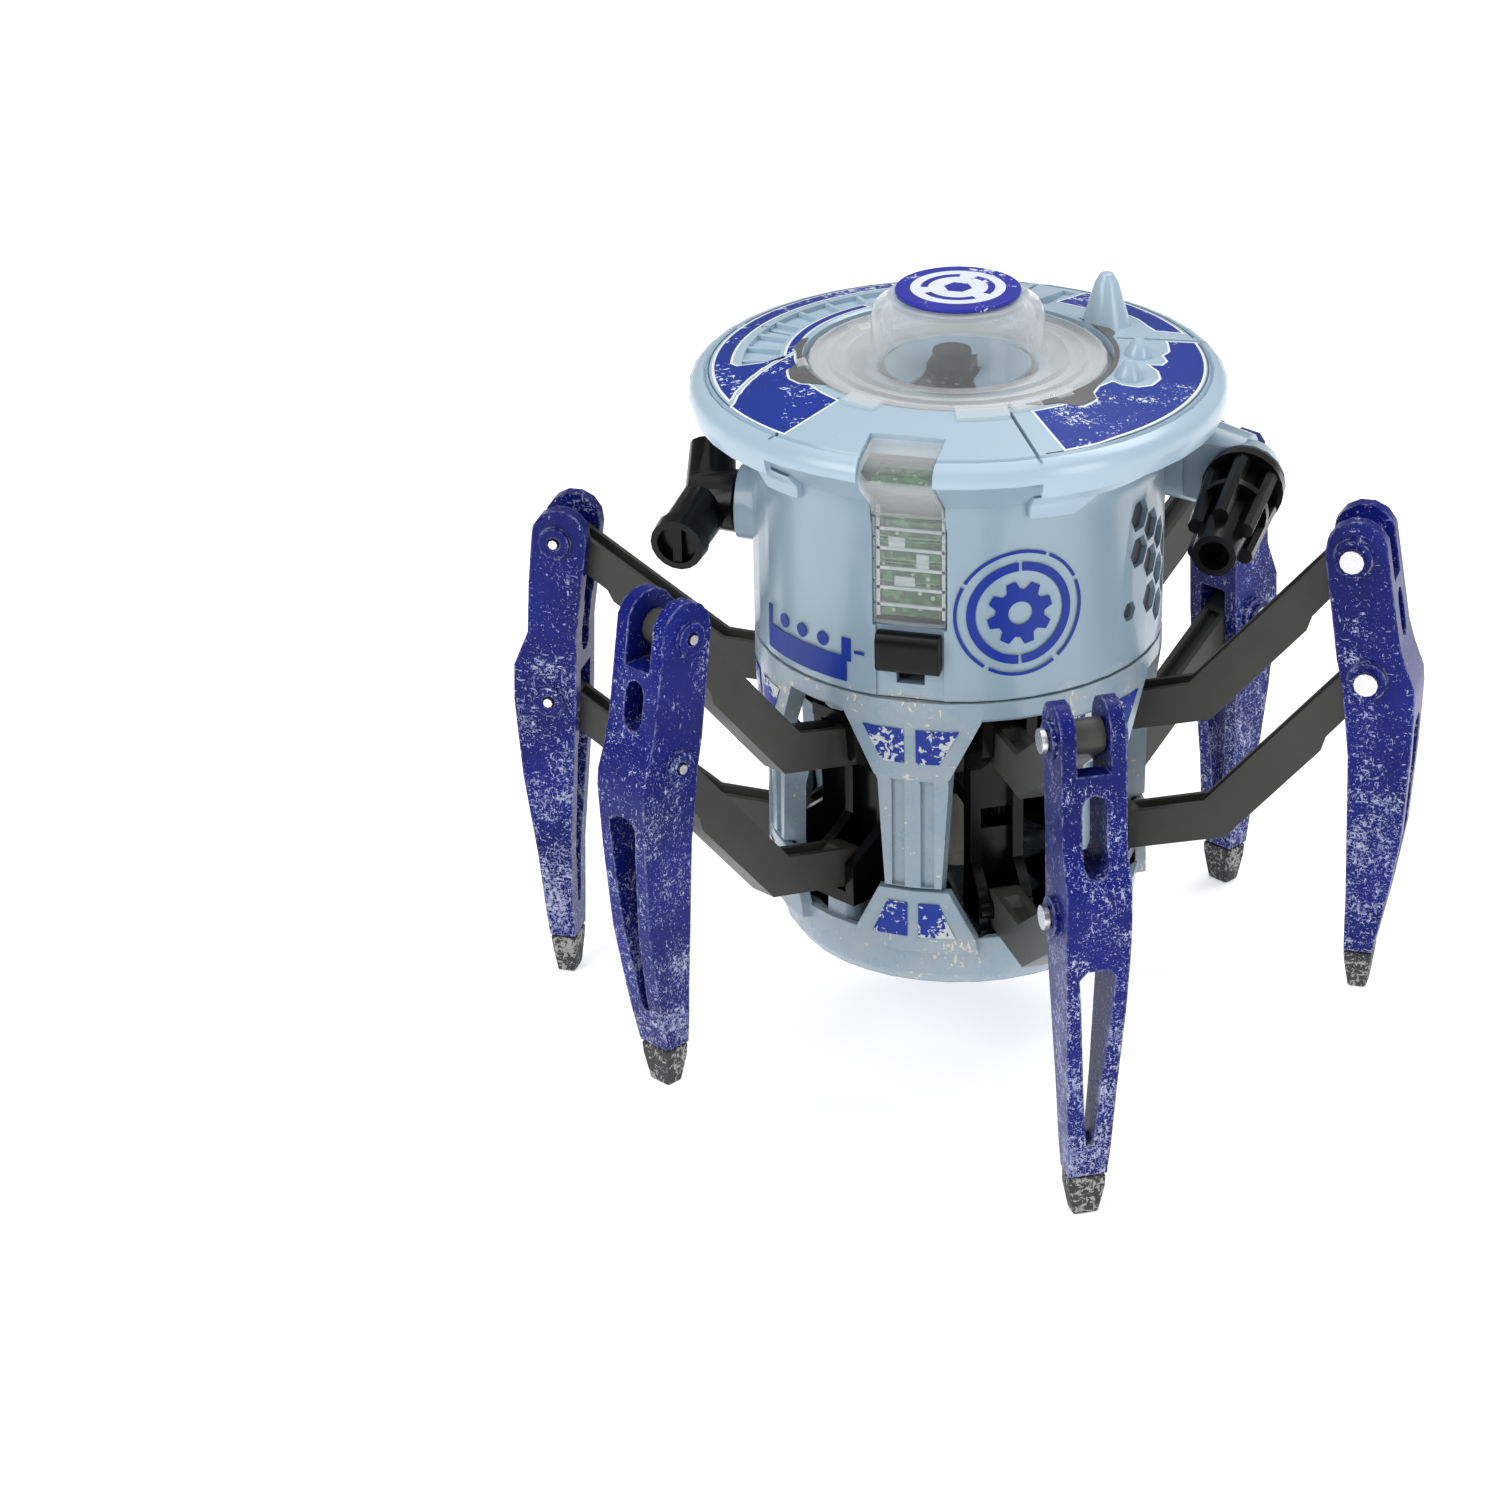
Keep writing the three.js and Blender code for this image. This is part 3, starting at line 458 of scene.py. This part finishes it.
def grow(outline, d):
    """Polar outline pushed out by d mm."""
    xy = [(r * math.cos(math.radians(a)), r * math.sin(math.radians(a))) for a, r in outline]
    n = len(xy)
    area = sum(xy[i][0] * xy[(i + 1) % n][1] - xy[(i + 1) % n][0] * xy[i][1] for i in range(n))
    way = 1 if area > 0 else -1
    out = []
    for i, (angle, _) in enumerate(outline):
        (x0, y0), (x1, y1), (x2, y2) = xy[i - 1], xy[i], xy[(i + 1) % n]
        before, after = math.hypot(x1 - x0, y1 - y0), math.hypot(x2 - x1, y2 - y1)
        nx = way * ((y1 - y0) / before + (y2 - y1) / after)
        ny = -way * ((x1 - x0) / before + (x2 - x1) / after)
        k = 2 * d / max(nx * nx + ny * ny, 0.9)
        x, y = x1 + k * nx, y1 + k * ny
        found = math.degrees(math.atan2(y, x))
        out.append((found + 360 * round((angle - found) / 360), math.hypot(x, y)))
    return out


def raised(place, by):
    return lambda u, v, lift: place(u, v, lift + by)


def top_panel(name, outline, material="ink"):
    """Blue panel on the cover with a pale border round it."""
    head_film(name + "_border", grow(outline, 0.42), on_top, "outline", "body", 0.04, step=(3, 60))
    head_film(name, outline, raised(on_top, 0.04), material, step=(3, 60))


def top_panels():
    # The inner edge of the right panel runs round the two small cones and a notch.
    top_panel("top_panel_right", ring_arc(-52, -44, 38, 3) + ring_arc(-38, 27, 37.6, 20) + [
        (27, 33.4), (19, 32.8), (15.4, 31.6), (11.5, 32.2), (7.6, 31.4), (6.2, 29.6), (3.2, 31),
        (-2, 32), (-8, 31.6), (-12, 30), (-13.8, 27.8), (-13.4, 26.2), (-20, 25.6), (-25.5, 26.4),
        (-28.5, 28.2), (-35.5, 28.6), (-38.5, 26.6), (-51.2, 26.4)], "ink_right")
    top_panel("top_panel_rear", ring_arc(34.5, 70, 37.2, 16) + [
        (70, 29), (61, 29.4), (58, 31), (54.5, 32.4), (50, 33.4), (46, 33.6), (40, 33.2),
        (36, 33.4)], "ink_right")
    # A crack splits the left panel, and its rear half runs round the vent.
    split = crack(-140, 37.8, -166, 25.2)
    top_panel("top_panel_left", ring_arc(-119.5, -140, 38, 10) + split + ring_arc(-166, -156, 25.2, 5)
              + [(-153, 27), (-146, 27.6), (-140, 27), (-137, 26), (-120.4, 26.4)])
    edge = [(a - 3.2, r) for a, r in split]
    top_panel("top_panel_left_rear", edge[::-1] + ring_arc(-144, -240, 37.4, 30)
              + ring_arc(-240, -166, 35, 26) + [(-163.4, 34), (-162.6, 30), (-163.6, 26.9)]
              + ring_arc(-166, -222, 26.3, 20) + ring_arc(-222, -170, 25, 18))
    # Recess line between the panels and the rounded rim, broken at the seams.
    for name, a0, a1 in (("right", -57, 27), ("rear", 31, 82), ("rear_left", 86, 164), ("left", 168, 237)):
        line = ring_arc(a0, a1, 38.45, 28) + ring_arc(a1, a0, 38.2, 28)
        head_film(f"rim_line_{name}", line, on_top, "seam", "body", 0.03, step=(3, 60))


def dome_trim():
    """Dark ring and clear tabs round the dome, and what shows inside it."""
    ring = [(14.4, 112.13), (23.75, 112.13), (23.75, 112.34), (14.4, 112.34)]
    piece("dome_bezel", *lathe(ring), "bezel_light", "head", "arm_grey")
    steps = {
        "left": [(-182, 23.95), (-181, 25), (-172, 25.4), (-168, 24.7), (-157, 24.9), (-153, 26.6),
                 (-146, 27.2), (-140, 26.6), (-136, 25), (-132, 23.95)],
        "right": [(-52, 23.95), (-47, 25), (-40, 25.6), (-36.5, 27.8), (-28, 27.6), (-25, 25.8),
                  (-18, 25), (-14, 24.8), (8, 24.7), (30, 24.9), (34, 26), (38, 26), (42, 24.7),
                  (52, 23.95)]}
    for side, outline in steps.items():
        outline = outline + ring_arc(outline[-1][0], outline[0][0], 23.93, 20)[1:-1]
        head_film(f"dome_bezel_{side}_step", outline, on_top, "bezel", "arm_grey", 0.14, 0.04, (4, 60))
    tabs = ((-118, -105, 26.6), (-77, -60, 27.4), (-57, -47, 26), (-40, -33, 25.3), (-158, -151, 25.2))
    for i, (a0, a1, r) in enumerate(tabs):
        tab = ring_arc(a0, a1, r, 8) + ring_arc(a1 + 1, a0 - 1, 23.6, 8)
        head_film(f"dome_flange_tab_{i + 1}", tab, on_top, "clear_plastic", "clear_plastic",
                  0.6, 0.12, (4, 60))
    # Shelf open at the front, where the receiver and its three legs stand.
    shelf = circle(0, 0, 11.3, 11.3, 26, -62, 242) + [(-4, -6.9), (-4, -1), (4, -1), (4, -6.9)]
    head_film("receiver_shelf", shelf, flat_at(112.22), "body", "body", 0.5, 0.1, (60, 60))
    for i, x in enumerate((-2.2, 0, 2.2)):
        leg = box(x - 0.35, x + 0.35, -9.9, -7.6, 112.95, 113.15)
        piece(f"receiver_leg_{i + 1}", *leg, "pin_steel", "head", "pin_steel")


def flat_at(z):
    return lambda u, v, lift: (u, v, z + lift)


def badge():
    """Pale field on the blue disc, with three arcs round a hexagon."""
    on_disc = flat_at(124.91)
    head_film("badge_field", circle(0, 0, 7.3, 7.3, 64), on_disc, "badge_field", thick=0.03, step=(60, 60))
    mark = raised(on_disc, 0.03)
    for k in range(3):
        a0, a1 = 100 + 120 * k, 192 + 120 * k
        arc = circle(0, 0, 5.7, 5.7, 18, a0, a1) + circle(0, 0, 4.6, 4.6, 18, a0, a1)[::-1]
        head_film(f"badge_mark_{k + 1}", arc, mark, "badge_blue", thick=0.03, step=(60, 60))
    head_film("badge_mark_centre", circle(0, 0, 2.2, 2.2, 6), mark, "badge_blue", thick=0.03, step=(60, 60))


def cog(half):
    """Half of a cog wheel with eight teeth."""
    outer = []
    for k in range(4):
        for offset, r in ((0, 3.9), (8, 5.2), (25, 5.2), (33, 3.9), (45, 3.9)):
            a = math.radians(180 * half + 45 * k + offset)
            outer.append((EMBLEM[0] + KX * r * math.cos(a), EMBLEM[1] + r * math.sin(a)))
    return outer + circle(*EMBLEM, 1.9 * KX, 1.9, 16, 180 * half + 180, 180 * half)


def emblem():
    """Two rings round a plain cog wheel, on the front of the drum."""
    for i, (a0, a1) in enumerate(((-52, 22), (27, 62), (66, 148), (152, 236), (241, 303))):
        thin = band(*EMBLEM, KX, 9.75, 10.25, a0, a1, 28)
        head_film(f"emblem_outer_ring_{i + 1}", thin, on_drum, "ink_clean")
    for i, (a0, a1) in enumerate(((-88, 88), (92, 268))):
        head_film(f"emblem_ring_{i + 1}", band(*EMBLEM, KX, 6.9, 8.3, a0, a1, 48), on_drum, "ink_clean")
    for half in (0, 1):
        head_film(f"emblem_cog_{half + 1}", cog(half), on_drum, "ink_clean")


def label():
    """Printed block on the left of the drum, with three plain pips over it."""
    block = [(-110, 75.5), (-110, 78.6), (-107, 78.6), (-107, 74.8), (-108.4, 74.8), (-108.4, 71.4),
             (-141.5, 71.4), (-141.5, 78.6), (-139.5, 78.6), (-139.5, 75.5)]
    head_film("label_block", block, on_drum, "ink_clean")
    dash = [(-106, 76.3), (-102.9, 76.3), (-102.9, 76.8), (-106, 76.8)]
    head_film("label_dash", dash, on_drum, "ink_clean")
    for i, azimuth in enumerate((-132.5, -124.5, -116.5)):
        head_film(f"label_pip_{i + 1}", circle(azimuth, 77.4, 1.15 * KX, 1.15, 20), on_drum, "ink_clean")


def vent_floors():
    """Dark films on the floors of the hexagonal vents and the hole on the right of the drum: painted shade
    inside the openings.
    """
    sunk = lambda u, v, lift: on_drum(u, v, lift, VENT_R)
    columns = ((-17, (94, 88)), (-9.5, (91, 85, 79)), (-2, (88, 82, 76)), (5.5, (85, 79)))
    for i, (azimuth, heights) in enumerate(columns):
        for j, z in enumerate(heights):
            hexagon = circle(azimuth, z, 2.6 * KX, 2.6, 6)
            head_film(f"vent_floor_{i + 1}_{j + 1}", hexagon, sunk, "vent", "black_plastic")
    hole = circle(-21.5, 79, 1.6 * KX, 1.6, 6)
    head_film("side_hole_floor", hole, sunk, "vent", "black_plastic")


def tab_marks():
    """Two scuffed printed marks on every upper and lower tab of the columns."""
    words = {-90: "front", -30: "front_right", 30: "rear_right",
             90: "rear", 150: "rear_left", 210: "front_left"}
    # Level, heights, half widths at the middle line, bottom and top, radii at the bottom and top.
    levels = (("upper", 59.2, 65, 0.9, 4.4, 7.4, 31.63, 31.98),
              ("lower", 28.8, 34.6, 0.9, 6.8, 4.2, 30.28, 30.28))
    for azimuth in COLUMNS:
        for level, z0, z1, inner, bottom, top, r0, r1 in levels:
            def on_tab(u, v, lift):
                r = r0 + (r1 - r0) * (v - z0) / (z1 - z0) + lift
                t = math.radians(azimuth) + u / 31.0
                return (r * math.cos(t), r * math.sin(t), v)
            for side, word in ((-1, "left"), (1, "right")):
                quad = [(side * inner, z0), (side * bottom, z0), (side * top, z1), (side * inner, z1)]
                mark = sheet(quad[::side], on_tab, (1.3, 60), 0.08)
                piece(f"{words[azimuth]}_{level}_tab_mark_{word}", *mark, "ink_tab", "leg_base", "badge_blue")


def window_inside():
    """Boards, frame and ribs that show through the light window."""
    def plastic(name, *extent, edge=0.0):
        piece(name, *box(*extent), "panel_grey", "head", "clear_plastic", edge)
    piece("window_back", *box(-5.4, 5.4, -30.1, -29.7, 83, 99.6), "window_board", "head", "board_green")
    piece("window_top_board", *box(-4.6, 4.6, -37, -31, 107, 107.4), "window_board", "head", "board_green")
    for i, z in enumerate((84.6, 87.4, 90.6, 93.8, 97)):
        plastic(f"window_rib_{i + 1}", -5.3, 5.3, -30.6, -30.15, z, z + 0.5)
    for x, word in ((-5.1, "left"), (5.1, "right")):
        plastic(f"window_frame_{word}", x - 0.3, x + 0.3, -30.6, -30.15, 83, 101)
    for i, (x, z, w, h) in enumerate(((-2.2, 95, 1.3, 0.9), (1.8, 92.2, 1, 1.2), (-1, 88.8, 1.6, 0.8))):
        plastic(f"window_part_{i + 1}", x - w, x + w, -30.5, -30.1, z - h, z + h, edge=0.1)


def lip_brackets():
    """Stepped brackets under the brim, either side of the front."""
    under = lambda u, v, lift: on_drum(u, v, lift, 33 + max(0, v - 102) * 0.9)
    half = ((31.5, 104.3), (31.5, 100.2), (44, 99.8), (51, 101.8), (84, 101.8), (86, 104.3))
    for side, word in ((-1, "left"), (1, "right")):
        outline = [(-90 + side * a, z) for a, z in half][::side]
        head_film(f"lip_bracket_{word}", outline, under, "body", "body", 1.2, 0.25, (2.5, 0.6))


def battery_door():
    """Outline, latch and screws of the door at the back of the drum."""
    left, right, bottom, top, line = 66, 114, 75, 98, 0.35
    edges = {
        "left": (left, left + line * KX, bottom, top), "right": (right - line * KX, right, bottom, top),
        "bottom": (left, right, bottom, bottom + line), "top": (left, right, top - line, top)}
    for word, (a0, a1, z0, z1) in edges.items():
        strip = [(a0, z0), (a1, z0), (a1, z1), (a0, z1)]
        head_film(f"battery_door_line_{word}", strip, on_drum, "seam", "body", 0.03)
    latch = [(84, 93), (96, 93), (94, 95.6), (86, 95.6)]
    head_film("battery_door_latch", latch, on_drum, "body", "body", 0.5, 0.1)
    for i, azimuth in enumerate((70, 110)):
        screw = circle(azimuth, 78, 1.4 * KX, 1.4, 24)
        head_film(f"battery_door_screw_{i + 1}", screw, on_drum, "pin_steel", "pin_steel", 0.2, 0.05)


top_panels()
dome_trim()
badge()
emblem()
label()
vent_floors()
tab_marks()
window_inside()
lip_brackets()
battery_door()

# ----------------------------------------------------------------- the scene
bpy.ops.mesh.primitive_plane_add(size=6)
floor = bpy.context.object
floor.name = "floor"
s = Shader("floor_white")
floor.data.materials.append(s.surface(color=rgb(246, 246, 247), rough=0.6, spec=0.1,
                                      glow=0.42, glow_color=(1, 1, 1, 1)))

world = bpy.data.worlds.new("studio")
bpy.context.scene.world = world
world.use_nodes = True
world.node_tree.nodes["Background"].inputs[0].default_value = (1.0, 1.0, 1.0, 1)
world.node_tree.nodes["Background"].inputs[1].default_value = 0.3
bpy.context.scene.view_settings.view_transform = "Standard"


def lamp(name, at, size, power):
    data = bpy.data.lights.new(name, "AREA")
    data.shape = "RECTANGLE"
    data.size, data.size_y = size
    data.energy = power
    obj = bpy.data.objects.new(name, data)
    bpy.context.collection.objects.link(obj)
    obj.location = at
    obj.rotation_mode = "QUATERNION"
    obj.rotation_quaternion = (Vector((0, 0, 0.06)) - Vector(at)).to_track_quat("-Z", "Y")


lamp("key", (-0.4, -0.6, 0.5), (0.5, 0.5), 3.5)
lamp("fill", (0.75, -0.35, 0.3), (0.3, 0.5), 2.1)
lamp("back", (0.3, 0.5, 0.85), (0.9, 0.3), 4.0)
lamp("top", (0, 0, 1.1), (1.2, 1.2), 5.5)

LOOK_AT = Vector((0, 0, 0.06))
AZIMUTH, ELEVATION, DISTANCE = 13.3, 24.5, 0.8
LENS = 121.5
a, e = math.radians(AZIMUTH), math.radians(ELEVATION)
back = Vector((math.sin(a) * math.cos(e), -math.cos(a) * math.cos(e), math.sin(e)))
cam = bpy.data.objects.new("camera", bpy.data.cameras.new("camera"))
bpy.context.collection.objects.link(cam)
cam.data.lens = LENS
cam.data.clip_start = 0.05
cam.location = LOOK_AT + back * DISTANCE
turn = (-back).to_track_quat("-Z", "Y").to_matrix().to_4x4()
# The robot stands right of the middle of the picture, and a little above it.
aim = Matrix.Rotation(math.radians(2.35), 4, "Y") @ Matrix.Rotation(math.radians(-0.85), 4, "X")
cam.rotation_mode = "QUATERNION"
cam.rotation_quaternion = (turn @ aim).to_quaternion()
bpy.context.scene.camera = cam
